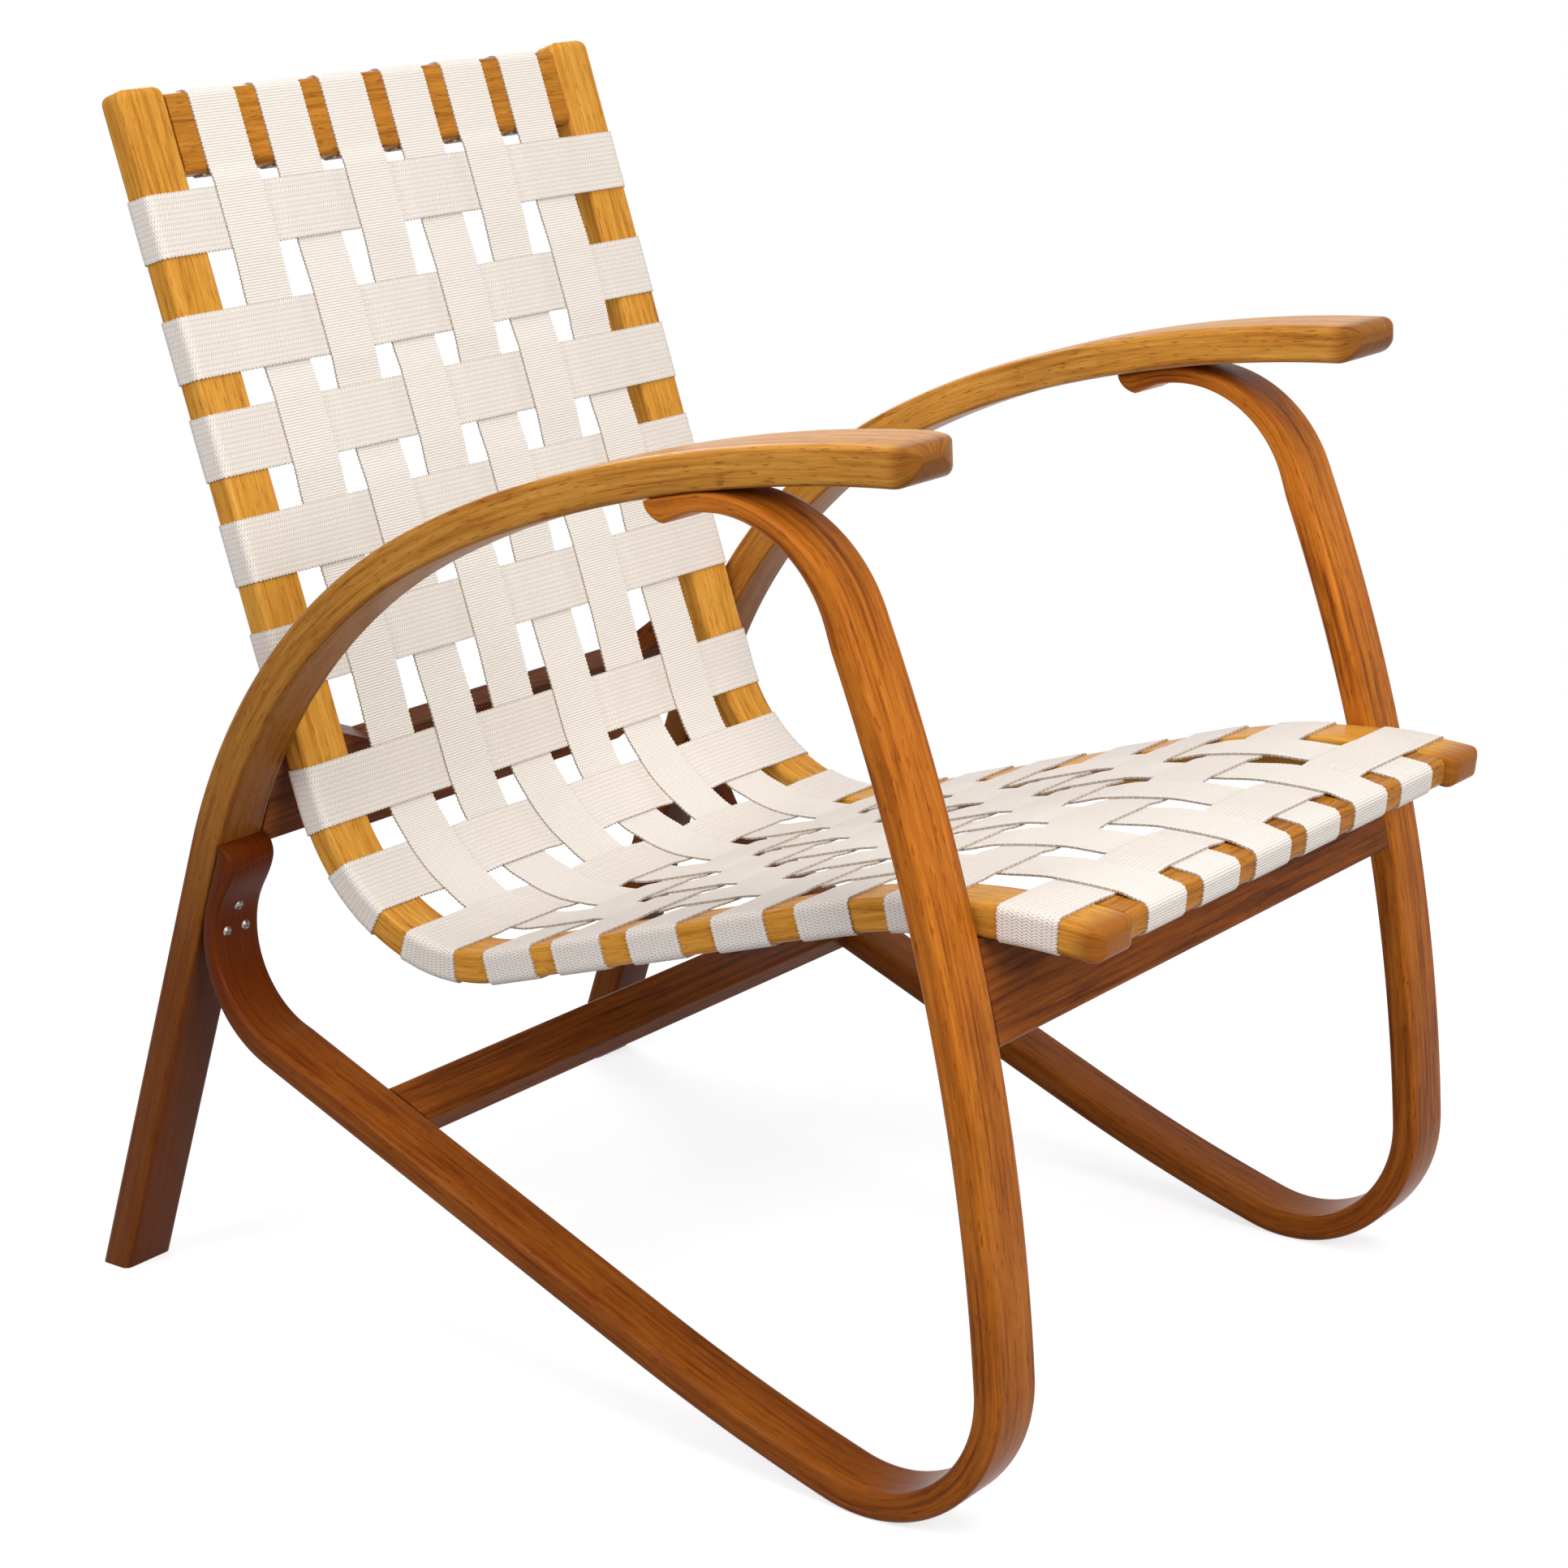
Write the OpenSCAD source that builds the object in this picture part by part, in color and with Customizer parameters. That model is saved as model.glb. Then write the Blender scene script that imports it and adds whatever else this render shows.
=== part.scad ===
// Bentwood armchair with woven webbing.
// X runs across the chair, -Y is the front, +Z is up; the origin is on the floor at the middle.
// Every bent bar is swept along a path of straight and round runs in the side plane.

/* [Side frames] */
// Width over the two side frames
overall_w = 588; // [520:1:680]
// Width of the bent side bars, across the chair
bar_w = 45; // [38:1:52]
// Thickness of the front loop's bar
loop_t = 20; // [16:1:24]
// Thickness of the arm and rear leg bar
arm_t = 26; // [22:1:30]
// Rounding of the long edges of the side bars
bar_round = 5; // [2:0.5:7]

/* [Front loop] */
// Radius of the bend on the floor
floor_bend_r = 97; // [88:1:112]
// Radius of the front leg's gentle curve
front_leg_r = 1415; // [1300:5:1600]
// Angle that the front leg's gentle curve turns through
front_leg_turn = 19; // [17:0.1:20]
// Angle that the floor bend turns past the upright
floor_bend_lean = 2.9; // [0:0.1:6]
// Radius of the bend below the armrest
top_bend_r = 96; // [88:1:106]
// Steepness of the loop where it leaves the floor bend
brace_low_angle = 16; // [12:0.5:20]
// Steepness of the straight brace
brace_angle = 22.6; // [20:0.1:25]
// Radius of the gentle curve at the foot of the brace
brace_curve_r = 1514; // [1200:2:1800]
// Radius of the bend up to the rear leg
rear_bend_r = 78; // [68:1:88]
// Distance of the floor bend's lowest line in front of the origin
floor_line_y = 283.5; // [260:0.5:300]
// Depth of the flat that wear leaves below the floor bend
floor_flat = 0.5; // [0:0.1:1]

/* [Scroll ends] */
// Thickness of a scroll end at its neck
scroll_neck_t = 12; // [9:0.5:14]
// Thickness of a scroll end at its bulge
scroll_bulge_t = 17; // [15:0.5:19]
// Radius of the hollow between neck and bulge
scroll_hollow_r = 26; // [18:1:34]
// Rounding of the tip of a scroll end
scroll_tip_r = 9; // [5:0.5:12]
// Length of the scroll end under the armrest, past the bend
tab_len = 35; // [28:1:44]
// Length of the scroll end on the rear leg, past the bend
rear_end_len = 50; // [40:1:56]

/* [Arm and rear leg] */
// Height of the middle of the armrest's front end
arm_h = 681.5; // [660:0.5:700]
// Distance of the armrest's front end in front of the origin
arm_front_y = 333.5; // [300:0.5:350]
// Downward tilt of the armrest at its front end
arm_tilt = 1.6; // [0:0.1:4]
// Radius of the armrest's long curve
arm_r = 1055; // [950:5:1200]
// Angle that the armrest's long curve turns through
arm_turn = 17; // [15:0.5:19]
// Radius of the curve behind the armrest
shoulder_r = 738; // [650:1:820]
// Angle that the curve behind the armrest turns through
shoulder_turn = 8; // [6:0.5:10]
// Radius of the bend down into the rear leg
elbow_r = 437; // [400:1:470]
// Slope of the rear leg from the floor
rear_leg_angle = 70; // [68:0.5:72]
// Width of the armrest at its front
armrest_w = 66; // [56:1:74]
// Length of the armrest that has its full width
armrest_full_len = 182; // [150:1:200]
// Length over which the armrest narrows to the bar's width
armrest_taper_len = 160; // [120:1:190]
// Rounding of the armrest's inner front corner, in plan
armrest_inner_r = 27; // [16:1:32]
// Rounding of the armrest's outer front corner, in plan
armrest_outer_r = 10; // [6:1:14]
// Rounding of the armrest's front end from below
armrest_toe_r = 34; // [26:1:40]

/* [Seat frame] */
// Width of the seat rails
rail_w = 42; // [34:1:48]
// Thickness of the seat rails
rail_t = 22; // [18:1:26]
// Rounding of the seat rails' long edges
rail_round = 4; // [2:0.5:6]
// Rounding of the seat rails' ends, in plan
rail_end_r = 9; // [4:0.5:14]
// Rounding of the seat rails' ends, seen from the side
rail_tip_r = 6; // [3:0.5:9]
// Gap between a seat rail and the side frame beside it
rail_gap = 2.5; // [2:0.1:4]
// Height of the back's top
back_h = 867.6; // [840:0.1:890]
// Distance of the back's top behind the origin
back_top_y = 365; // [345:0.5:380]
// Slope of the back from the upright
back_lean = 17.6; // [15:0.1:20]
// Length of the straight back
back_len = 510; // [490:1:530]
// Radius of the hollow between back and seat
seat_bend_r = 122; // [112:1:132]
// Angle that the hollow between back and seat turns through
seat_bend_turn = 89.4; // [87:0.1:92]
// Length of the straight part of the seat
seat_len = 298; // [285:1:312]
// Radius of the roll at the seat's front
seat_roll_r = 507; // [450:1:560]
// Angle that the roll at the seat's front turns through
seat_roll_turn = 23.7; // [21:0.1:26]

/* [Cross rails] */
// Thickness of the front and rear cross rails
cross_rail_t = 20; // [16:1:22]
// Rounding of the cross rails' edges
cross_rail_round = 3; // [1:0.5:5]
// Distance of the front cross rail above the floor bend, along the leg
front_rail_at = 210; // [190:1:225]
// Set-back of the front cross rail from the front of the legs
front_rail_setback = 2; // [0:0.5:5]
// Height of the rear cross rail, along the rear legs
rear_rail_h = 78; // [66:1:84]
// Drop of the rear cross rail's middle below its ends
rear_rail_drop = 17; // [8:1:20]
// Length over which the rear cross rail drops
rear_rail_step_len = 40; // [30:1:60]
// Lap of the rear cross rail's top edge over the seat rails' backs
rear_rail_lap = 3; // [2:0.5:6]
// Width of the lower cross rail
lower_rail_w = 40; // [32:1:48]
// Thickness of the lower cross rail
lower_rail_t = 18; // [14:1:19]
// Distance of the lower cross rail from the start of the straight brace
lower_rail_at = 253; // [210:1:290]
// Height of the top bar, along the back
top_bar_h = 58; // [48:1:66]
// Thickness of the top bar
top_bar_t = 18; // [16:1:20]
// Distance of the top bar below the rails' upper ends
top_bar_drop = 6; // [3:0.5:12]
// Depth of the seat's front bar
front_bar_w = 30; // [26:1:36]
// Thickness of the seat's front bar
front_bar_t = 20; // [18:1:21]
// Distance of the front bar behind the rails' front ends
front_bar_setback = 7; // [3:0.5:12]
// Rounding of the top bar and the front bar
strap_bar_round = 5.5; // [4:0.5:7]

/* [Webbing] */
// Width of the webbing
strap_w = 45; // [38:1:52]
// Thickness of the webbing
strap_t = 1.4; // [1:0.1:1.6]

/* [Fasteners] */
// Radius of a screw head
screw_head_r = 4; // [3:0.25:5]
// Height of a screw head
screw_head_h = 2; // [1.5:0.25:2.5]
// Radius of a tack head
tack_head_r = 2.2; // [1.6:0.2:3]
// Height of a tack head
tack_head_h = 0.8; // [0.6:0.1:1.2]
// Radius of a domed nail under the top bar
nail_head_r = 3.4; // [2.8:0.1:3.5]
// Height of a domed nail under the top bar
nail_head_h = 3; // [2:0.25:3.5]
// Width of the slot in a screw head
slot_w = 1; // [0.6:0.1:1.2]
// Distance between the paired screws at the foot of the rear joint
screw_pair = 18; // [14:1:24]

/* [Hidden] */
$fn = 48;

arm_wood = "#c98a3a";
loop_wood = "#a9632a";
rail_wood = "#cf9440";
cross_wood = "#8e4f22";
webbing = "#eee6d8";
steel = "#c9c9c6";

// Facets of a bend in the preview, and the overrun of cuts
bend_facets = 240;
over = 1;
// Every second run of a swept bar is slimmer by seam_step and reaches into its neighbours by seam
seam = 0.2;
seam_step = 0.02;
$slim = 0;
// Slack between a strap and what it lies on, or crosses
strap_gap = 0.1;

// Where the side frames and the seat rails stand, across the chair
frame_mid_x = overall_w/2 - bar_w/2;
frame_inner_x = overall_w/2 - bar_w;
rail_outer_x = frame_inner_x - rail_gap;
rail_mid_x = rail_outer_x - rail_w/2;
rail_inner_x = rail_outer_x - rail_w;

// A path is [start point, start angle, runs] in the side plane, where a point is [y, z].
// A run is [length, 0] if straight and [radius, turn] if round, with a left turn positive.
function run_len(run) = run[1] == 0 ? run[0] : run[0]*abs(run[1])*PI/180;
function run_turn(run, d) = run[1] == 0 ? 0 : sign(run[1])*d/run[0]*180/PI;
function ahead(a) = [cos(a), sin(a)];
function to_right(a) = [sin(a), -cos(a)];
function advance(p, a, run, d) = run[1] == 0 ? p + d*ahead(a)
    : p + sign(run[1])*run[0]*(to_right(a + run_turn(run, d)) - to_right(a));
function runs_len(runs, count) = count == 0 ? 0 : runs_len(runs, count - 1) + run_len(runs[count - 1]);
function path_len(path) = runs_len(path[2], len(path[2]));
function run_start(path, i) = i == 0 ? [path[0], path[1]]
    : let (q = run_start(path, i - 1), run = path[2][i - 1])
      [advance(q[0], q[1], run, run_len(run)), q[1] + run[1]];
function run_at(path, s, i = 0) =
    i == len(path[2]) - 1 || s <= runs_len(path[2], i + 1) ? i : run_at(path, s, i + 1);
function place(path, s) =
    let (i = run_at(path, s), q = run_start(path, i), run = path[2][i], d = s - runs_len(path[2], i))
    [advance(q[0], q[1], run, d), q[1] + run_turn(run, d)];
// The point n to the right of station s
function beside(path, s, n) = let (q = place(path, s)) q[0] + n*to_right(q[1]);

function cross2(a, b) = a[0]*b[1] - a[1]*b[0];
function polar_angle(v) = atan2(v[1], v[0]);

// Arm and rear leg, from the armrest's front end rearwards and down past the floor
arm_start = [-arm_front_y, arm_h];
elbow_turn = rear_leg_angle - arm_tilt - arm_turn - shoulder_turn;
arm_bends = [[arm_r, -arm_turn], [shoulder_r, -shoulder_turn], [elbow_r, -elbow_turn]];
elbow_end = run_start([arm_start, -arm_tilt, arm_bends], len(arm_bends))[0];
arm_path = [arm_start, -arm_tilt, concat(arm_bends, [[(elbow_end[1] + arm_t)/sin(rear_leg_angle), 0]])];
leg_up = 180 - rear_leg_angle;
// Distance in Y of the rear leg's front face at a height
function leg_front_y(z) =
    elbow_end[0] + (elbow_end[1] - z)/tan(rear_leg_angle) - arm_t/2/sin(rear_leg_angle);

// Loop from the floor line forwards, up and under the armrest: the leg's straight length is
// solved so that the top bend touches the armrest's underside, and the tab follows that underside
loop_line = [-floor_line_y, loop_t/2 - floor_flat];
leg_runs = [[floor_bend_r, -90 - floor_bend_lean], [front_leg_r, -front_leg_turn]];
leg_top = run_start([loop_line, 180, leg_runs], len(leg_runs));
arm_centre = arm_start + arm_r*to_right(-arm_tilt);
tab_r = arm_r - arm_t/2 - loop_t/2;
bend_offset = leg_top[0] + top_bend_r*to_right(leg_top[1]) - arm_centre;
offset_ahead = bend_offset*ahead(leg_top[1]);
leg_straight = sqrt(pow(offset_ahead, 2) - bend_offset*bend_offset + pow(tab_r - top_bend_r, 2)) - offset_ahead;
tab_angle = polar_angle(bend_offset + leg_straight*ahead(leg_top[1])) - 90;
loop_front_path = [loop_line, 180, concat(leg_runs, [
    [leg_straight, 0],
    [top_bend_r, tab_angle - leg_top[1]],
    [tab_r, -tab_len/tab_r*180/PI]
])];

// Loop from the floor line rearwards and up the rear leg's front face: the brace's straight
// length is solved so that the bend touches that face
brace_runs = [[floor_bend_r, brace_low_angle], [brace_curve_r, brace_angle - brace_low_angle]];
brace_start = run_start([loop_line, 0, brace_runs], len(brace_runs))[0];
end_line = elbow_end - (arm_t + loop_t)/2*to_right(leg_up);
rear_turn = leg_up - brace_angle;
brace_reach = cross2(end_line - brace_start, ahead(leg_up))/cross2(ahead(brace_angle), ahead(leg_up));
brace_len = brace_reach - rear_bend_r*tan(rear_turn/2);
loop_rear_path = [loop_line, 0, concat(brace_runs, [
    [brace_len, 0],
    [rear_bend_r, rear_turn],
    [rear_end_len, 0]
])];

// The seat rails' path lies on their sitting face, with the sitter to the right
rail_path = [[back_top_y, back_h], -90 - back_lean, [
    [back_len, 0],
    [seat_bend_r, -seat_bend_turn],
    [seat_len, 0],
    [seat_roll_r, seat_roll_turn]
]];
rail_len = path_len(rail_path);

// The rear cross rail continues the front face of the legs' straight part. Its top edge is a lap
// above the line where that face meets the backs of the seat rails.
rail_back = beside(rail_path, 0, -rail_t);
leg_face = [leg_front_y(0), 0];
rear_meet_s = cross2(leg_face - rail_back, ahead(leg_up))/cross2(ahead(rail_path[1]), ahead(leg_up));
rear_rail_top = rail_back + rear_meet_s*ahead(rail_path[1]) + rear_rail_lap*ahead(leg_up);

// The front cross rail stands along the front legs and meets the seat rails' undersides
front_rail_h = front_rail_at/2;
front_rail_q = place(loop_front_path, runs_len(loop_front_path[2], 1) + front_rail_at + front_rail_h/2);
roll_q = run_start(rail_path, 3);
roll_centre = roll_q[0] - seat_roll_r*to_right(roll_q[1]);
roll_offset = front_rail_q[0] - roll_centre;
roll_ahead = roll_offset*ahead(front_rail_q[1]);
front_reach = sqrt(pow(roll_ahead, 2) - roll_offset*roll_offset + pow(seat_roll_r - rail_t, 2)) - roll_ahead;
front_meet = roll_offset + front_reach*ahead(front_rail_q[1]);
meet_turn = (polar_angle(front_meet) + 90 - roll_q[1]) % 360;
front_meet_s = runs_len(rail_path[2], 3) + seat_roll_r*meet_turn*PI/180;

// Shift that centres the whole chair over the origin
front_edge_y = beside(rail_path, rail_len - rail_tip_r, -rail_tip_r)[0] - rail_tip_r;
rear_edge_y = leg_front_y(0) + arm_t/sin(rear_leg_angle);
box_shift = -(front_edge_y + rear_edge_y)/2;

// Cross straps: where each starts along the rails, as shares of the three lengths that the two
// cross rails leave there, so that no strap lies between a seat rail and a cross rail
back_strap_shares = [0.1602, 0.3423, 0.4908, 0.6509, 0.8188];
seat_strap_shares = [0.0223, 0.1348, 0.2436, 0.3553, 0.4556, 0.5626, 0.6789, 0.7886, 0.9021];
roll_strap_shares = [0.2233];
strap_starts = concat(
    [for (k = back_strap_shares) k*rear_meet_s],
    [for (k = seat_strap_shares) rear_meet_s + k*(front_meet_s - rear_meet_s)],
    [for (k = roll_strap_shares) front_meet_s + k*(rail_len - front_meet_s)]
);
cross_straps = len(strap_starts);
function cross_start(j) = strap_starts[j - 1];

// Lengthwise straps: how many, and where the middle of each lies across the chair
long_straps = 6;
strap_pitch_share = 0.158;
strap_pitch = 2*rail_inner_x*strap_pitch_share;
function long_mid(i) = (i - (long_straps + 1)/2)*strap_pitch;

// Inset of the top and front bars behind the rails' faces
bar_inset = 1.2;
// Heights of the strap's middle line over a face, over the top and front bars, and in the weave
on_face_n = strap_gap + strap_t/2;
strap_face = strap_gap + strap_t;
on_bar_n = on_face_n - bar_inset;
low_n = on_face_n - strap_t/2 - strap_gap;
high_n = on_face_n + strap_t/2 + strap_gap;
// Odd sums put the cross strap on top
function cross_n(i, j) = (i + j) % 2 == 1 ? high_n : low_n;
function long_n(i, j) = (i + j) % 2 == 1 ? low_n : high_n;
flat_margin = 1;
bend_steps = 5;
chord = 9;

// Frames of the top bar and the front bar: their middles along the rails
top_bar_s = top_bar_drop + top_bar_h/2;
front_bar_s = rail_len - front_bar_setback - front_bar_w/2;

module rounded(w, t, r) {
    square([w - 2*r, t - 2*$slim], center = true);
    square([w - 2*$slim, t - 2*r], center = true);
    for (x = [-1, 1], y = [-1, 1])
        translate([x*(w/2 - r), y*(t/2 - r)]) circle(r - $slim);
}

// Sweeps a section along one run: its x runs across the chair, its y to the right of the path
module sweep_run(p, a, run, d) {
    turn = run_turn(run, d);
    if (run[1] == 0)
        translate([0, p[0], p[1]]) rotate([a - 90, 0, 0]) linear_extrude(d) children();
    else {
        centre = p - sign(turn)*run[0]*to_right(a);
        first = turn > 0 ? a - 90 : a + turn + 90;
        translate([0, centre[0], centre[1]]) rotate([first, 0, 0]) rotate([90, 0, 90])
            rotate_extrude(angle = abs(turn), $fn = bend_facets) translate([run[0], 0])
                mirror([turn > 0 ? 1 : 0, 0]) rotate(90) children();
    }
}

module sweep(path, from, to, phase = 0) {
    for (i = [0:len(path[2]) - 1]) {
        slim = (i + phase) % 2;
        $slim = slim*seam_step;
        before = runs_len(path[2], i);
        run = path[2][i];
        lo = max(from, before - slim*seam);
        hi = min(to, before + run_len(run) + slim*seam);
        q = run_start(path, i);
        if (hi > lo + 2*seam)
            sweep_run(advance(q[0], q[1], run, lo - before), q[1] + run_turn(run, lo - before), run, hi - lo)
                children();
    }
}

// Draws an outline of the side plane, given as [along, to the right], and gives it a width
module side_plate(p, a, w, mid_x) {
    translate([mid_x - w/2, p[0], p[1]]) rotate([90, 0, 90]) linear_extrude(w)
        rotate(a) mirror([0, 1]) children();
}

module dome(r, h) {
    ball_r = (r*r + h*h)/(2*h);
    intersection() {
        translate([0, 0, h - ball_r]) sphere(ball_r);
        cylinder(r = r + over, h = h + over);
    }
}

// A dome on a face of the side plane, whose axis points along an angle
module dome_at(x, p, a, r, h) {
    translate([x, p[0], p[1]]) rotate([a - 90, 0, 0]) dome(r, h);
}

module both_sides() {
    children();
    mirror([1, 0, 0]) children();
}

module placed() {
    translate([0, box_shift, 0]) children();
}

module below_floor() {
    translate([-overall_w, -overall_w, -arm_t - loop_t]) cube([2*overall_w, 2*overall_w, arm_t + loop_t]);
}

// What a rounded corner leaves of a square: the square's corner lies at the origin
module corner_waste(r) {
    difference() {
        translate([-over, -over]) square(r + over);
        translate([r, r]) circle(r);
    }
}

// Scroll end, past the last bend of the loop: the outline is drawn from the face that lies on
// the arm or leg, and the bend is thinned down to the neck
function mate_point(path, side, u, v) =
    let (q = run_start(path, len(path[2]) - 1)) q[0] + u*ahead(q[1]) + side*(v - loop_t/2)*to_right(q[1]);
function bend_inner_r(path) = path[2][len(path[2]) - 2][0] - loop_t/2;

module scroll_waste(path, side, end_len) {
    q = run_start(path, len(path[2]) - 1);
    r = bend_inner_r(path);
    side_plate(q[0], q[1], bar_w + 2*over, frame_mid_x)
        mirror([0, side > 0 ? 0 : 1]) translate([0, -loop_t/2]) {
            intersection() {
                translate([0, scroll_neck_t + r]) circle(r, $fn = bend_facets);
                translate([-2*r, 0]) square([2*r, 2*r]);
            }
            translate([0, scroll_neck_t + scroll_hollow_r]) circle(scroll_hollow_r);
            translate([0, scroll_bulge_t]) square([end_len + over, loop_t]);
            translate([end_len, scroll_bulge_t]) mirror([1, 0]) mirror([0, 1]) corner_waste(scroll_tip_r);
        }
}

// Round-headed screw on a face of the side plane whose outward direction is an angle
module screw(x, p, a) {
    translate([x, p[0], p[1]]) rotate([a - 90, 0, 0]) difference() {
        dome(screw_head_r, screw_head_h);
        translate([-screw_head_r, -slot_w/2, screw_head_h/2]) cube([2*screw_head_r, slot_w, screw_head_h]);
    }
}

// Flat seat for a screw head
module screw_seat(x, p, a) {
    translate([x, p[0], p[1]]) rotate([a - 90, 0, 0]) cylinder(r = screw_head_r + strap_gap, h = loop_t);
}

// Screws of the scroll ends, as [across, point, outward angle]
tab_q = run_start(loop_front_path, len(loop_front_path[2]) - 1);
rear_q = run_start(loop_rear_path, len(loop_rear_path[2]) - 1);
rear_inner_r = bend_inner_r(loop_rear_path);
rear_centre = mate_point(loop_rear_path, -1, 0, scroll_neck_t + rear_inner_r);
pair_angle = screw_pair/rear_inner_r*180/PI;
pair_point = rear_centre + rear_inner_r*ahead(rear_q[1] - 90 - pair_angle);
tab_screws = [[frame_mid_x, mate_point(loop_front_path, 1, 0, scroll_neck_t), tab_q[1] - 90]];
rear_screws = [
    [frame_mid_x, mate_point(loop_rear_path, -1, 0, scroll_neck_t), rear_q[1] + 90],
    [frame_mid_x - screw_pair/2, pair_point, rear_q[1] + 90 - pair_angle],
    [frame_mid_x + screw_pair/2, pair_point, rear_q[1] + 90 - pair_angle]
];

module front_loop() {
    difference() {
        union() {
            translate([frame_mid_x, 0, 0]) sweep(loop_front_path, 0, path_len(loop_front_path))
                rounded(bar_w, loop_t, bar_round);
            translate([frame_mid_x, 0, 0]) sweep(loop_rear_path, -seam, path_len(loop_rear_path), 1)
                rounded(bar_w, loop_t, bar_round);
        }
        below_floor();
        scroll_waste(loop_front_path, 1, tab_len);
        scroll_waste(loop_rear_path, -1, rear_end_len);
        for (s = concat(tab_screws, rear_screws)) screw_seat(s[0], s[1], s[2]);
    }
}

// The armrest's broad part from above: full width, then two arcs that bring its inner edge in
// to the bar's width
armrest_inner_x = overall_w/2 - armrest_w;
module armrest_plan() {
    full_y = armrest_full_len - arm_front_y;
    step = armrest_w - bar_w;
    taper_r = (pow(armrest_taper_len, 2) + pow(step, 2))/(4*step);
    translate([armrest_inner_x, -arm_front_y - over]) square([armrest_w, armrest_full_len + over]);
    intersection() {
        translate([armrest_inner_x, full_y]) square([armrest_w, armrest_taper_len/2]);
        translate([armrest_inner_x + taper_r, full_y]) circle(taper_r, $fn = bend_facets);
    }
    difference() {
        translate([armrest_inner_x, full_y + armrest_taper_len/2]) square([armrest_w, armrest_taper_len/2]);
        translate([armrest_inner_x + step - taper_r, full_y + armrest_taper_len])
            circle(taper_r, $fn = bend_facets);
    }
}

module arm_leg() {
    broad_mid_x = overall_w/2 - armrest_w/2;
    difference() {
        union() {
            intersection() {
                translate([broad_mid_x, 0, 0])
                    sweep(arm_path, 0, armrest_full_len + 2*armrest_taper_len)
                        rounded(armrest_w - 4*seam_step, arm_t - 4*seam_step, bar_round);
                translate([0, 0, arm_h/2]) linear_extrude(arm_h) armrest_plan();
            }
            translate([frame_mid_x, 0, 0]) sweep(arm_path, 0, path_len(arm_path))
                rounded(bar_w, arm_t, bar_round);
        }
        below_floor();
        side_plate(arm_start, -arm_tilt, armrest_w + 2*over, broad_mid_x) {
            translate([0, arm_t/2]) mirror([0, 1]) corner_waste(armrest_toe_r);
            translate([0, -arm_t/2]) corner_waste(bar_round);
        }
        translate([0, -arm_front_y, arm_h/2]) linear_extrude(arm_h) {
            translate([armrest_inner_x, 0]) corner_waste(armrest_inner_r);
            translate([overall_w/2, 0]) mirror([1, 0]) corner_waste(armrest_outer_r);
        }
    }
}

// Rounds one end of a seat rail from above and from the side: u runs into the rail
module rail_end_waste(s, inward) {
    q = place(rail_path, s);
    translate([rail_mid_x, q[0][0], q[0][1]]) rotate([inward > 0 ? q[1] : q[1] + 180, 0, 0])
        translate([0, 0, -rail_t - over]) linear_extrude(2*(rail_t + over)) {
            translate([-rail_w/2, 0]) corner_waste(rail_end_r);
            translate([rail_w/2, 0]) mirror([1, 0]) corner_waste(rail_end_r);
        }
    side_plate(q[0], q[1], rail_w + 2*over, rail_mid_x) mirror([inward > 0 ? 0 : 1, 0]) {
        mirror([0, 1]) corner_waste(rail_tip_r);
        translate([0, -rail_t]) corner_waste(rail_tip_r);
    }
}

module seat_rail() {
    difference() {
        translate([rail_mid_x, 0, 0]) sweep(rail_path, 0, rail_len)
            translate([0, -rail_t/2]) rounded(rail_w, rail_t, rail_round);
        rail_end_waste(0, 1);
        rail_end_waste(rail_len, -1);
    }
}

// Everything above the seat rails' undersides, over the whole width
module rail_space(from, to) {
    sweep(rail_path, from, to) translate([-frame_inner_x - over, -rail_t])
        square([2*(frame_inner_x + over), rail_t + front_rail_h]);
}

// A board between the side frames, whose section lies in the side plane
module cross_board(p, a, section_w, section_t, half_len) {
    translate([0, p[0], p[1]]) rotate([a, 0, 0]) rotate([90, 0, 90])
        translate([0, 0, -half_len]) linear_extrude(2*half_len)
            rounded(section_w, section_t, cross_rail_round);
}

module front_cross_rail() {
    q = front_rail_q;
    setback = (loop_t - cross_rail_t)/2 - front_rail_setback;
    placed() color(cross_wood) difference() {
        cross_board(q[0] - setback*to_right(q[1]), q[1], front_rail_h, cross_rail_t, frame_inner_x);
        rail_space(front_meet_s - front_rail_h, rail_len);
    }
}

// Outline of the rear cross rail: its middle is lower than its ends, and slopes join them
module rear_rail_outline() {
    high_x = rail_inner_x - rail_t/2;
    low_x = high_x - rear_rail_step_len;
    polygon([
        [-frame_inner_x, 0], [-high_x, 0], [-low_x, -rear_rail_drop],
        [low_x, -rear_rail_drop], [high_x, 0], [frame_inner_x, 0],
        [frame_inner_x, -rear_rail_h], [high_x, -rear_rail_h], [low_x, -rear_rail_h - rear_rail_drop],
        [-low_x, -rear_rail_h - rear_rail_drop], [-high_x, -rear_rail_h], [-frame_inner_x, -rear_rail_h]
    ]);
}

module rear_cross_rail() {
    placed() color(cross_wood) difference() {
        translate([0, rear_rail_top[0], rear_rail_top[1]]) rotate([leg_up, 0, 0])
            translate([0, 0, -cross_rail_t]) linear_extrude(cross_rail_t) rear_rail_outline();
        rail_space(0, back_len);
    }
}

module lower_cross_rail() {
    q = place(loop_rear_path, runs_len(loop_rear_path[2], 2) + lower_rail_at);
    placed() color(cross_wood)
        cross_board(q[0], q[1], lower_rail_w, lower_rail_t, frame_inner_x);
}

// A bar between the seat rails that the straps wrap, with its face just below theirs
module strap_bar(s, w, t) {
    q = place(rail_path, s);
    p = q[0] - (bar_inset + t/2)*to_right(q[1]);
    placed() color(rail_wood) translate([0, p[0], p[1]]) rotate([q[1], 0, 0]) rotate([90, 0, 90])
        translate([0, 0, -rail_inner_x]) linear_extrude(2*rail_inner_x) rounded(w, t, strap_bar_round);
}

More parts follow.
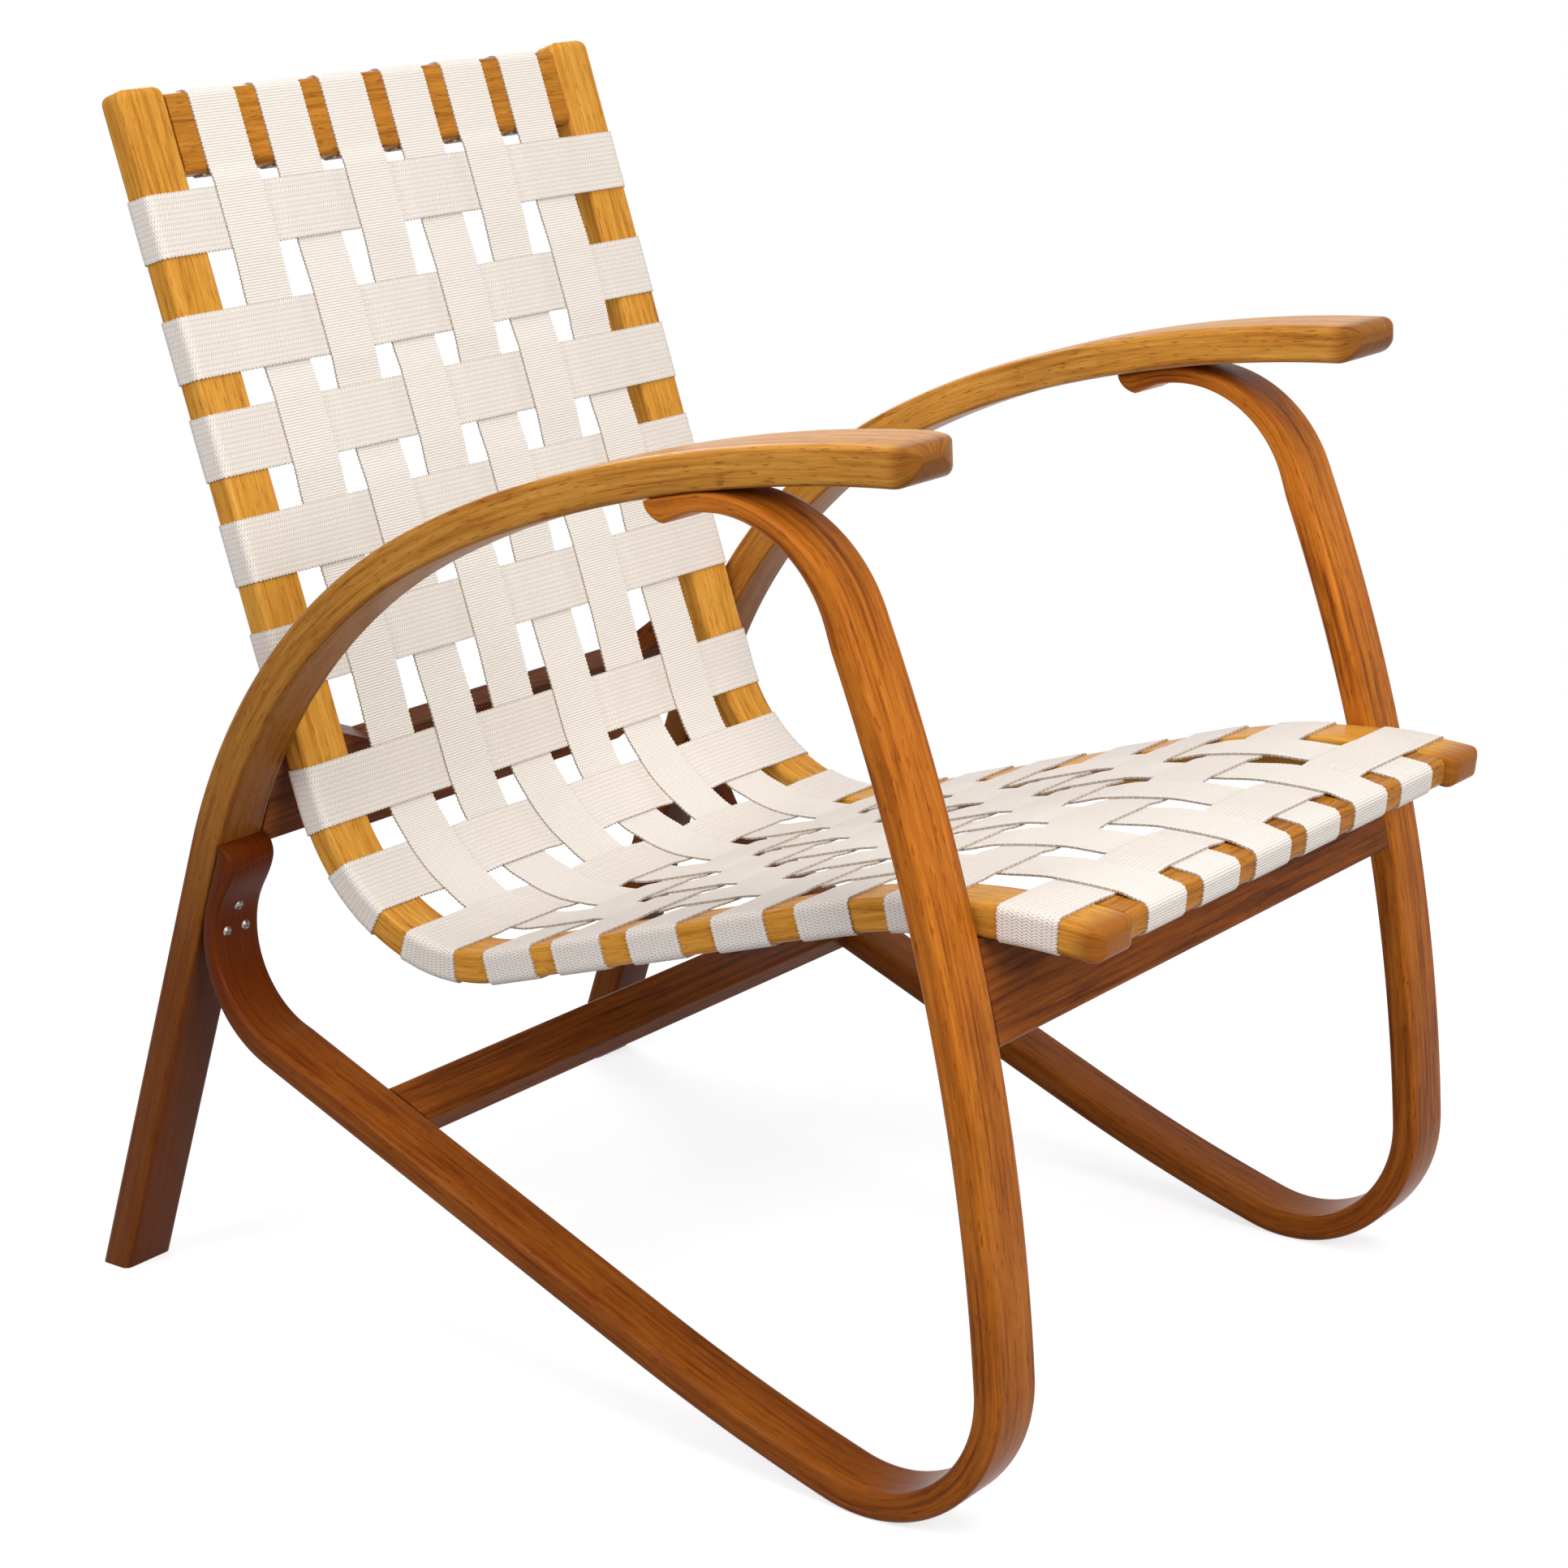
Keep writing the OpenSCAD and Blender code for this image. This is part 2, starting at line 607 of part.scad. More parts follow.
module back_top_bar() {
    strap_bar(top_bar_s, top_bar_h, top_bar_t);
}

module seat_front_bar() {
    strap_bar(front_bar_s, front_bar_w, front_bar_t);
}

module right_arm_leg() { placed() color(arm_wood) mirror([1, 0, 0]) arm_leg(); }
module left_arm_leg() { placed() color(arm_wood) arm_leg(); }
module right_front_loop() { placed() color(loop_wood) mirror([1, 0, 0]) front_loop(); }
module left_front_loop() { placed() color(loop_wood) front_loop(); }
module right_seat_rail() { placed() color(rail_wood) mirror([1, 0, 0]) seat_rail(); }
module left_seat_rail() { placed() color(rail_wood) seat_rail(); }

// Ribbon outline of the strap's thickness about the points of its middle line
function unit(v) = v/norm(v);
function step_dir(c, i) = unit(c[min(i + 1, len(c) - 1)] - c[min(i, len(c) - 2)]);
function right_of(v) = [v[1], -v[0]];
function ribbon_offset(c, i) =
    let (m = unit(right_of(step_dir(c, max(i - 1, 0))) + right_of(step_dir(c, i))))
    strap_t/2/(m*right_of(step_dir(c, i)))*m;
module ribbon(c) {
    last = len(c) - 1;
    k = 1 - 2*$slim/strap_t;
    polygon(concat([for (i = [0:last]) c[i] + k*ribbon_offset(c, i)],
        [for (i = [last:-1:0]) c[i] - k*ribbon_offset(c, i)]));
}

// Quarter turn of a strap's middle line round an edge with radius r
function edge_turn(u, n, r, from) = [for (k = [0:bend_steps])
    let (b = from - 90*k/bend_steps) [u, n] + (r + on_face_n)*ahead(b)];
// Middle line of a strap round a bar of width w and thickness t, from its face at n = 0, over
// the edge at +w/2, to the end of the flat at the back
function bar_wrap(w, t, r) = concat(
    edge_turn(w/2 - r, -r, r, 90),
    edge_turn(w/2 - r, r - t, r, 0),
    [[r - w/2, -t - on_face_n]]);

// Cross strap j, drawn as [across, toward the sitter]
function cross_side(sign) = [for (q = bar_wrap(rail_w, rail_t, rail_round)) [sign*(q[0] + rail_mid_x), q[1]]];
function cross_middle(j) = [for (i = [1:long_straps], e = [-1, 1])
    [long_mid(i) + e*(strap_w/2 + flat_margin), cross_n(i, j)]];
function drop_last(v) = [for (i = [0:len(v) - 2]) v[i]];
function reversed(v) = [for (i = [len(v) - 1:-1:0]) v[i]];
function cross_line(j) = concat(
    reversed(cross_side(-1)), [[-rail_inner_x, on_face_n]],
    cross_middle(j),
    [[rail_inner_x, on_face_n]], cross_side(1));

module cross_strap(j) {
    placed() color(webbing) sweep(rail_path, cross_start(j), cross_start(j) + strap_w)
        ribbon(cross_line(j));
}

// Lengthwise strap i, drawn in the side plane: its knots are [station, toward the sitter]
function long_knots(i) = concat(
    [[top_bar_drop + strap_bar_round, on_bar_n], [top_bar_drop + top_bar_h - strap_bar_round, on_bar_n]],
    [for (j = [1:cross_straps], e = [0, 1])
        [cross_start(j) + e*strap_w + (2*e - 1)*flat_margin, long_n(i, j)]]);
function is_bent(s) = rail_path[2][run_at(rail_path, s)][1] != 0;
function knot_steps(a, b) = is_bent(a) || is_bent(b) ? ceil((b - a)/chord) : 1;
function traced(knots) = [for (k = [0:len(knots) - 2])
    let (a = knots[k], b = knots[k + 1], n = knot_steps(a[0], b[0]))
    for (m = [0:n - 1]) let (q = a + (b - a)*m/n) beside(rail_path, q[0], q[1])];
// The wrap round a bar, set in the side plane; toward = 1 goes over the bar's far edge
function set_wrap(s, w, t, toward) = let (q = place(rail_path, s))
    [for (c = bar_wrap(w, t, strap_bar_round))
        q[0] + toward*c[0]*ahead(q[1]) + (c[1] - bar_inset)*to_right(q[1])];
top_end = let (q = place(rail_path, top_bar_s))
    [for (c = edge_turn(strap_bar_round - top_bar_h/2, strap_bar_round - top_bar_t, strap_bar_round, -90))
        q[0] - c[0]*ahead(q[1]) + (c[1] - bar_inset)*to_right(q[1])];
top_fold = let (q = place(rail_path, top_bar_s))
    q[0] + (top_bar_h/2 + on_face_n)*ahead(q[1]) - (bar_inset + strap_bar_round)*to_right(q[1]);
function long_line(i) = concat(
    [top_fold], reversed(top_end), reversed(drop_last(set_wrap(top_bar_s, top_bar_h, top_bar_t, -1))),
    [for (k = [1:1:len(traced(long_knots(i))) - 1]) traced(long_knots(i))[k]],
    [beside(rail_path, long_knots(i)[2*cross_straps + 1][0], long_knots(i)[2*cross_straps + 1][1])],
    set_wrap(front_bar_s, front_bar_w, front_bar_t, 1));

module lengthwise_strap(i) {
    placed() color(webbing) translate([long_mid(i) - strap_w/2, 0, 0]) rotate([90, 0, 90])
        linear_extrude(strap_w) ribbon(long_line(i));
}

module lengthwise_strap_1() { lengthwise_strap(1); }
module lengthwise_strap_2() { lengthwise_strap(2); }
module lengthwise_strap_3() { lengthwise_strap(3); }
module lengthwise_strap_4() { lengthwise_strap(4); }
module lengthwise_strap_5() { lengthwise_strap(5); }
module lengthwise_strap_6() { lengthwise_strap(6); }
module cross_strap_1() { cross_strap(1); }
module cross_strap_2() { cross_strap(2); }
module cross_strap_3() { cross_strap(3); }
module cross_strap_4() { cross_strap(4); }
module cross_strap_5() { cross_strap(5); }
module cross_strap_6() { cross_strap(6); }
module cross_strap_7() { cross_strap(7); }
module cross_strap_8() { cross_strap(8); }
module cross_strap_9() { cross_strap(9); }
module cross_strap_10() { cross_strap(10); }
module cross_strap_11() { cross_strap(11); }
module cross_strap_12() { cross_strap(12); }
module cross_strap_13() { cross_strap(13); }
module cross_strap_14() { cross_strap(14); }
module cross_strap_15() { cross_strap(15); }

module rear_joint_screws() {
    placed() color(steel) both_sides() for (s = rear_screws) screw(s[0], s[1], s[2]);
}

module arm_tab_screws() {
    placed() color(steel) both_sides() for (s = tab_screws) screw(s[0], s[1], s[2]);
}

module rear_rail_screws() {
    placed() color(steel) both_sides()
        screw(rail_mid_x, rear_rail_top - 3*screw_head_r*ahead(leg_up) + cross_rail_t*to_right(leg_up),
            leg_up - 90);
}

// Domed nails hold the straps' folded ends below the top bar
module top_bar_nails() {
    q = place(rail_path, top_bar_s);
    under = q[0] + (top_bar_h/2 + strap_face)*ahead(q[1]) - (bar_inset + top_bar_t/2)*to_right(q[1]);
    placed() color(steel) for (i = [1:long_straps])
        dome_at(long_mid(i), under, q[1], nail_head_r, nail_head_h);
}

module lengthwise_tacks() {
    q = place(rail_path, front_bar_s);
    under = q[0] - (bar_inset + front_bar_t + strap_face)*to_right(q[1]);
    placed() color(steel) for (i = [1:long_straps])
        dome_at(long_mid(i), under, q[1] + 90, tack_head_r, tack_head_h);
}

module rail_tacks() {
    for (j = [1:cross_straps]) {
        s = cross_start(j) + strap_w/2;
        dome_at(rail_mid_x, beside(rail_path, s, -rail_t - strap_face), place(rail_path, s)[1] + 90,
            tack_head_r, tack_head_h);
    }
}

module right_rail_tacks() { placed() color(steel) mirror([1, 0, 0]) rail_tacks(); }
module left_rail_tacks() { placed() color(steel) rail_tacks(); }

right_arm_leg();
left_arm_leg();
right_front_loop();
left_front_loop();
front_cross_rail();
rear_cross_rail();
lower_cross_rail();
right_seat_rail();
left_seat_rail();
back_top_bar();
seat_front_bar();
lengthwise_strap_1();
lengthwise_strap_2();
lengthwise_strap_3();
lengthwise_strap_4();
lengthwise_strap_5();
lengthwise_strap_6();
cross_strap_1();
cross_strap_2();
cross_strap_3();
cross_strap_4();
cross_strap_5();
cross_strap_6();
cross_strap_7();
cross_strap_8();
cross_strap_9();
cross_strap_10();
cross_strap_11();
cross_strap_12();
cross_strap_13();
cross_strap_14();
cross_strap_15();
rear_joint_screws();
arm_tab_screws();
rear_rail_screws();
top_bar_nails();
lengthwise_tacks();
right_rail_tacks();
left_rail_tacks();
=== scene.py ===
import math
import bmesh
import bpy
from mathutils import Matrix, Vector


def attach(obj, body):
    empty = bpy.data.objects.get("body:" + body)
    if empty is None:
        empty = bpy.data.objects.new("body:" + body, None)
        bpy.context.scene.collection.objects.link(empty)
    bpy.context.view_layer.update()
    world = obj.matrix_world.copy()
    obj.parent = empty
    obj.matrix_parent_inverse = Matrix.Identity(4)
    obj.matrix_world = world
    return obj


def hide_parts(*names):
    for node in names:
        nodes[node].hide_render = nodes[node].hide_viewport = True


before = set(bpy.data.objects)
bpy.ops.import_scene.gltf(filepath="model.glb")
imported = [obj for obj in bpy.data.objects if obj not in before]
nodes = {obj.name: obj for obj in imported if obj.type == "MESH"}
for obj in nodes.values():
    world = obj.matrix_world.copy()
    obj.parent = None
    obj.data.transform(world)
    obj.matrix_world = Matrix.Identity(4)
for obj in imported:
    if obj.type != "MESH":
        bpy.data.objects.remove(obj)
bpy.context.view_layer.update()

# The view is that of the photograph: a long lens a little above the armrests, in front of the
# chair and on the sitter's right. The lens is shifted by the photograph's own framing.
IMAGE_PX = 1932
lens_px, lens_centre_px = 4332.93, (986.28, 1019.49)
camera_place = (-1.9171, -1.4818, 1.0684)
swing, dip, roll = (math.radians(a) for a in (-52.636, 16.751, -1.068))
camera = bpy.data.cameras.new("studio_view")
camera.sensor_width = 36
camera.lens = lens_px / IMAGE_PX * camera.sensor_width
camera.shift_x = 0.5 - lens_centre_px[0] / IMAGE_PX
camera.shift_y = lens_centre_px[1] / IMAGE_PX - 0.5
camera.clip_end = 80
view = bpy.data.objects.new("studio_view", camera)
backward = Vector((math.sin(swing) * math.cos(dip), -math.cos(swing) * math.cos(dip),
                   math.sin(dip)))
level = Vector((math.cos(swing), math.sin(swing), 0))
upward = backward.cross(level)
across = math.cos(roll) * level + math.sin(roll) * upward
upright = math.cos(roll) * upward - math.sin(roll) * level
view.matrix_world = Matrix((across, upright, backward)).transposed().to_4x4()
view.location = camera_place
bpy.context.scene.collection.objects.link(view)
bpy.context.scene.camera = view


# The studio is a white paper sweep under soft lamps. The paper shows as white and keeps the
# chair's shadow, and the room's even light gives the wood and the webbing their plain colours.
def linear(hex_colour):
    """An sRGB hex colour as linear red, green, blue and alpha."""
    parts = [int(hex_colour[i:i + 2], 16) / 255 for i in (1, 3, 5)]
    return [p / 12.92 if p <= 0.04045 else ((p + 0.055) / 1.055) ** 2.4 for p in parts] + [1]


def add(tree, kind, inputs=(), **settings):
    """Adds a shader node with its settings, and links or sets its inputs."""
    made = tree.nodes.new("ShaderNode" + kind)
    for name, value in settings.items():
        setattr(made, name, value)
    for socket, value in dict(inputs).items():
        if isinstance(value, bpy.types.NodeSocket):
            tree.links.new(value, made.inputs[socket])
        else:
            made.inputs[socket].default_value = value
    return made


def blank_material(name):
    """A new material whose node tree is still empty."""
    material = bpy.data.materials.new(name)
    material.use_nodes = True
    material.node_tree.nodes.clear()
    return material, material.node_tree


def seen_directly(tree):
    """1 for what the camera sees, also in a reflection, and 0 for light that falls on the chair."""
    path = add(tree, "LightPath").outputs
    either = add(tree, "Math", {0: path["Is Camera Ray"], 1: path["Is Glossy Ray"]},
                 operation="MAXIMUM")
    seen = add(tree, "Math", {0: either.outputs[0], 1: path["Is Transmission Ray"]},
               operation="MAXIMUM")
    return seen.outputs[0]


world = bpy.data.worlds.new("white_studio")
bpy.context.scene.world = world
world.use_nodes = True
sky = world.node_tree
sky.nodes.clear()
room = add(sky, "Background", {"Color": linear("#f6f6f8"), "Strength": 0.3})
backdrop = add(sky, "Background", {"Color": (1, 1, 1, 1), "Strength": 1.0})
surround = add(sky, "MixShader", {0: seen_directly(sky), 1: room.outputs[0], 2: backdrop.outputs[0]})
add(sky, "OutputWorld", {"Surface": surround.outputs[0]})

PAPER_RADIUS, SWEEP_START, SWEEP_END = 40, 0.7, 1.7
floor_mesh = bmesh.new()
bmesh.ops.create_circle(floor_mesh, cap_ends=True, segments=64, radius=PAPER_RADIUS)
floor_data = bpy.data.meshes.new("paper_floor")
floor_mesh.to_mesh(floor_data)
floor_mesh.free()
floor = bpy.data.objects.new("paper_floor", floor_data)
bpy.context.scene.collection.objects.link(floor)
paper, tree = blank_material("white_seamless_paper")
shaded_paper = add(tree, "BsdfDiffuse", {"Color": linear("#a4a4a6")})
near_matt = add(tree, "BsdfDiffuse", {"Color": linear("#b6b6b8")})
near_glow = add(tree, "Emission", {"Color": (1, 1, 1, 1), "Strength": 0.72})
near_paper = add(tree, "AddShader", {0: near_matt.outputs[0], 1: near_glow.outputs[0]})
far_paper = add(tree, "Emission", {"Color": (1, 1, 1, 1), "Strength": 1.0})
distance = add(tree, "VectorMath", {0: add(tree, "TexCoord").outputs["Object"]}, operation="LENGTH")
sweep = add(tree, "MapRange", {"Value": distance.outputs["Value"], "From Min": SWEEP_START,
                               "From Max": SWEEP_END}, interpolation_type="SMOOTHSTEP")
seen_paper = add(tree, "MixShader", {
    0: sweep.outputs[0], 1: near_paper.outputs[0], 2: far_paper.outputs[0]})
paper_look = add(tree, "MixShader", {
    0: seen_directly(tree), 1: shaded_paper.outputs[0], 2: seen_paper.outputs[0]})
add(tree, "OutputMaterial", {"Surface": paper_look.outputs[0]})
floor_data.materials.append(paper)

lit_point = Vector((0, 0, 0.4))
for lamp_name, place, size, watts, tint in (
    ("overhead_softbox", (-0.3, -0.9, 3.0), 2.2, 50, "#fffdfa"),
    ("front_softbox", (-1.2, -3.4, 2.0), 1.6, 76, "#fffefb"),
    ("left_softbox", (-3.0, 0.5, 2.3), 1.6, 45, "#fdfdff"),
    ("rear_softbox", (1.9, 3.2, 2.0), 1.8, 52, "#fdfdff"),
):
    lamp = bpy.data.lights.new(lamp_name, "AREA")
    lamp.size = size
    lamp.energy = watts
    lamp.color = linear(tint)[:3]
    stand = bpy.data.objects.new(lamp_name, lamp)
    stand.location = place
    stand.rotation_euler = (Vector(place) - lit_point).to_track_quat("Z", "Y").to_euler()
    bpy.context.scene.collection.objects.link(stand)


# The two front loops. Each is one length of steamed beech, bent from a scroll end under the
# armrest down the front leg, round on the floor, along the brace and up to a second scroll end
# on the rear leg. It is planed straight first, with its edges rounded, and then bent.
MM = 0.001
OVERALL_WIDTH, BAR_WIDTH, LOOP_THICKNESS = 588, 45, 20
FRAME_MIDDLE = OVERALL_WIDTH / 2 - BAR_WIDTH / 2
ARM_SCROLL = {"length": 35, "bend": 96, "reach": 190}
REAR_SCROLL = {"length": 50, "bend": 78, "reach": 170}
loop_route = ((-128.062, 632.935), 167.1173, [
    (1032, 1.9432), (ARM_SCROLL["bend"], 79.0395), (15.211, 0), (1415, 19), (97, 92.9),
    (97, 16), (1514, 6.6), (350.149, 0), (REAR_SCROLL["bend"], 87.4), (REAR_SCROLL["length"], 0)])


def run_length(run):
    """Length of one run of a route: a straight (length, 0) or a bend (radius, degrees)."""
    return run[0] if run[1] == 0 else run[0] * math.radians(abs(run[1]))


def route_length(route):
    """Length of a route, given as (start in y and z, heading, runs), in millimetres and degrees."""
    return sum(run_length(run) for run in route[2])


def walk(route, distance):
    """Place and heading at a distance along a route of straights and bends in the side plane."""
    (y, z), heading, runs = route
    for k, run in enumerate(runs):
        step = distance if k == len(runs) - 1 else min(distance, run_length(run))
        a = math.radians(heading)
        if run[1] == 0 or step < 0:
            y, z = y + step * math.cos(a), z + step * math.sin(a)
        else:
            way = math.copysign(1, run[1])
            heading += way * math.degrees(step / run[0])
            b = math.radians(heading)
            y += way * run[0] * (math.sin(b) - math.sin(a))
            z -= way * run[0] * (math.cos(b) - math.cos(a))
        distance -= step
        if distance <= 0:
            break
    return y, z, heading


def bend(mesh, route, middle_x=0, side=1):
    """Bends a straight piece, whose Y runs along the route and whose Z is on its left."""
    for v in mesh.verts:
        y, z, heading = walk(route, v.co.y)
        a = math.radians(heading)
        bent = (side * (middle_x + v.co.x), y - v.co.z * math.sin(a), z + v.co.z * math.cos(a))
        v.co = Vector(bent) * MM
    if side < 0:
        bmesh.ops.reverse_faces(mesh, faces=mesh.faces)


def planed_bar(width, thickness, length, edge, spacing, near_ends=()):
    """A straight bar with rounded long edges, cut into short lengths so that it can bend, and
    at more places near its ends where they are rounded."""
    mesh = bmesh.new()
    bmesh.ops.create_cube(mesh, size=1, matrix=Matrix.Diagonal((width, length, thickness, 1)))
    bmesh.ops.translate(mesh, vec=(0, length / 2, 0), verts=mesh.verts)
    corners = [e for e in mesh.edges if abs(e.verts[0].co.y - e.verts[1].co.y) > length / 2]
    bmesh.ops.bevel(mesh, geom=corners, offset=edge, affect="EDGES", segments=5, profile=0.5,
                    material=-1)
    along = [e for e in mesh.edges if abs(e.verts[0].co.y - e.verts[1].co.y) > length / 2]
    bmesh.ops.subdivide_edges(mesh, edges=along, cuts=round(length / spacing))
    for cut in near_ends:
        for at in (cut, length - cut):
            bmesh.ops.bisect_plane(mesh, geom=mesh.verts[:] + mesh.edges[:] + mesh.faces[:],
                                   plane_co=(0, at, 0), plane_no=(0, 1, 0))
    return mesh


def mark_grain(mesh, offset):
    """Keeps each point's place in the straight bar, in metres, so that grain follows the bend."""
    grain = mesh.verts.layers.float_vector.new("grain")
    for v in mesh.verts:
        v[grain] = (v.co + Vector(offset)) * MM


def set_up(name, mesh, material, smooth_under=35):
    """Makes a finished piece of a mesh and lets it ride on the chair."""
    data = bpy.data.meshes.new(name)
    mesh.to_mesh(data)
    mesh.free()
    data.shade_smooth()
    if smooth_under:
        data.set_sharp_from_angle(angle=math.radians(smooth_under))
    data.materials.append(material)
    piece = bpy.data.objects.new(name, data)
    bpy.context.scene.collection.objects.link(piece)
    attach(piece, "root")
    return piece


def varnished_beech(name, pale, body, dark, deep="#5c2a0d", darker=(), mottled=0.08, boards=False):
    """Beech under old shellac varnish: faint streaks 2 to 4 mm wide, fibres of 1 mm, and the
    short dark flecks of its rays. Over each run of darker, the colour goes over to the deep
    tone: the axis (1 along the bar, 2 through it), its start and end in metres, and the amount."""
    material, tree = blank_material(name)
    if boards:
        place = add(tree, "TexCoord").outputs["Object"]
        place = add(tree, "Mapping", {"Vector": place, "Rotation": (0, 0, math.pi / 2)}).outputs[0]
    else:
        place = add(tree, "Attribute", attribute_name="grain").outputs["Vector"]
    drawn = add(tree, "Mapping", {"Vector": place, "Scale": (1, 0.035, 1)}).outputs[0]
    streaks = add(tree, "TexNoise", {"Vector": drawn, "Scale": 280, "Detail": 3, "Roughness": 0.55,
                                     "Distortion": 0.3})
    fibres = add(tree, "TexNoise", {"Vector": drawn, "Scale": 1100, "Detail": 2, "Roughness": 0.6})
    fleck_place = add(tree, "Mapping", {"Vector": place, "Scale": (1, 0.13, 1)}).outputs[0]
    flecks = add(tree, "TexNoise", {"Vector": fleck_place, "Scale": 620, "Detail": 1,
                                    "Roughness": 0.5})
    drift_place = add(tree, "Mapping", {"Vector": place, "Scale": (1, 0.3, 1)}).outputs[0]
    drift = add(tree, "TexNoise", {"Vector": drift_place, "Scale": 28, "Detail": 3,
                                   "Roughness": 0.6})
    tone = add(tree, "MapRange", {"Value": drift.outputs["Fac"], "From Min": 0.3, "From Max": 0.7,
                                  "To Min": -mottled, "To Max": mottled})
    level = add(tree, "Math", {0: streaks.outputs["Fac"], 1: tone.outputs[0]}, operation="ADD")
    wood = add(tree, "ValToRGB", {"Fac": level.outputs[0]})
    ramp = wood.color_ramp.elements
    ramp[0].position, ramp[0].color = 0.24, linear(dark)
    ramp[1].position, ramp[1].color = 0.74, linear(pale)
    middle = ramp.new(0.48)
    middle.color = linear(body)
    colour = wood.outputs["Color"]
    place_parts = add(tree, "SeparateXYZ", {0: place})
    for axis, start, end, amount in darker:
        run = add(tree, "MapRange", {"Value": place_parts.outputs[axis], "From Min": start,
                                     "From Max": end, "To Max": amount},
                  interpolation_type="SMOOTHSTEP")
        colour = add(tree, "Mix", {"Factor": run.outputs[0], 6: colour, 7: linear(deep)},
                     data_type="RGBA").outputs[2]
    fine = add(tree, "MapRange", {"Value": fibres.outputs["Fac"], "From Min": 0.3, "From Max": 0.7,
                                  "To Min": 0.8, "To Max": 1.1})
    shaded = add(tree, "VectorMath", {0: colour, 1: fine.outputs[0]}, operation="MULTIPLY")
    fleck = add(tree, "MapRange", {"Value": flecks.outputs["Fac"], "From Min": 0.62,
                                   "From Max": 0.7, "To Min": 0, "To Max": 0.45})
    marked = add(tree, "Mix", {"Factor": fleck.outputs[0], 6: shaded.outputs[0], 7: linear(deep)},
                 data_type="RGBA")
    relief = add(tree, "Math", {0: fibres.outputs["Fac"], 1: fleck.outputs[0]},
                 operation="SUBTRACT")
    bump = add(tree, "Bump", {"Height": relief.outputs[0], "Strength": 0.12, "Distance": 0.0003})
    worn = add(tree, "MapRange", {"Value": drift.outputs["Fac"], "To Min": 0.2, "To Max": 0.38})
    varnish = add(tree, "BsdfPrincipled", {
        "Base Color": marked.outputs[2], "Roughness": worn.outputs[0], "IOR": 1.5,
        "Specular IOR Level": 0.05, "Normal": bump.outputs[0]})
    add(tree, "OutputMaterial", {"Surface": varnish.outputs[0]})
    return material


# From partway down the front leg the colour goes darker to the floor and stays so along the brace;
# over the rear scroll it goes darker still.
loop_beech = varnished_beech("steam_bent_beech_brown_varnish", "#cd7b2a", "#b5661e", "#783a11",
                             deep="#521c06", mottled=0.14,
                             darker=((1, 0.25, 0.9, 0.6), (1, 1.28, 1.44, 0.8)))
NECK, BULGE, HOLLOW_LENGTH, TIP = 12, 17, 34, 14
loop_length = route_length(loop_route)


def scroll_thickness(from_end, scroll):
    """Thickness of a scroll end at a distance from its tip: thinned on the bend down to the
    neck, out again in a soft S to the bulge, and rounded at the tip."""
    if from_end >= scroll["reach"]:
        return LOOP_THICKNESS
    beyond = scroll["length"] - from_end
    inner = scroll["bend"] - LOOP_THICKNESS / 2
    if beyond < 0:
        angle, off = min(-beyond / scroll["bend"], math.pi / 2), LOOP_THICKNESS - NECK
        reach = off * math.cos(angle) + math.sqrt(inner ** 2 - (off * math.sin(angle)) ** 2)
        return min(LOOP_THICKNESS, inner + LOOP_THICKNESS - reach)
    share = min(beyond / HOLLOW_LENGTH, 1)
    hollow = NECK + (BULGE - NECK) * share * share * (3 - 2 * share)
    into_tip = beyond - (scroll["length"] - TIP)
    tip = BULGE if into_tip < 0 else BULGE - TIP + math.sqrt(max(TIP ** 2 - into_tip ** 2, 0))
    return min(hollow, tip)


for side_name, side in (("right", -1), ("left", 1)):
    loop = planed_bar(BAR_WIDTH, LOOP_THICKNESS, loop_length, edge=5, spacing=4,
                      near_ends=(0.15, 0.6, 1.3, 2.3, 3.3, 5.5, 7, 9.5))
    mark_grain(loop, (side * 300, 0, 40))
    for v in loop.verts:
        thickness = min(scroll_thickness(v.co.y, ARM_SCROLL),
                        scroll_thickness(loop_length - v.co.y, REAR_SCROLL))
        v.co.z = -LOOP_THICKNESS / 2 + (v.co.z + LOOP_THICKNESS / 2) * thickness / LOOP_THICKNESS
    bend(loop, loop_route, FRAME_MIDDLE, side)
    for v in loop.verts:
        v.co.z = max(v.co.z, 0)
    piece = set_up(side_name + "_bent_loop", loop, loop_beech)
    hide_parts(side_name + "_front_loop")

# The arm and rear leg are one bent bar too, broader at the front to rest a hand on, with its leg
# cut level on the floor. The front ends are shaped by hand and not alike: the right one is
# rounded more, round its inner corner and from below, and the left one is blunt.
ARM_THICKNESS, ARMREST_WIDTH, FULL_LENGTH, TAPER_LENGTH = 26, 66, 182, 160
NOSE_TIP, THINNEST = 0.2, 0.4
RIGHT_NOSE = {"inner": 38, "outer": 12, "toe": 19, "top": 8}
LEFT_NOSE = {"inner": 16, "outer": 10, "toe": 15, "top": 9}
arm_route = ((-328.694, 681.5), -1.6, [(1055, -17), (738, -8), (437, -43.4), (390, 0)])
# The nose, with its end grain, is darker. From 0.3 m along, round the bend and down the rear leg,
# the colour goes darker towards the floor. The bar's under face, below the armrest and on the front
# of the rear leg, is painted darker: painted shade.
arm_beech = varnished_beech("steam_bent_beech_honey_varnish", "#d09646", "#c18434", "#9c5d23",
                            deep="#5c1f05",
                            darker=((1, 0.022, 0.006, 0.6), (1, 0.3, 0.7, 0.45),
                                    (1, 0.62, 0.9, 0.75), (2, 0.0795, 0.0772, 0.35)))


def corner_cut(along, radius):
    """How far a rounded corner lies inside the square one, at a distance from the end."""
    return radius - math.sqrt(max(radius ** 2 - max(radius - along, 0) ** 2, 0))


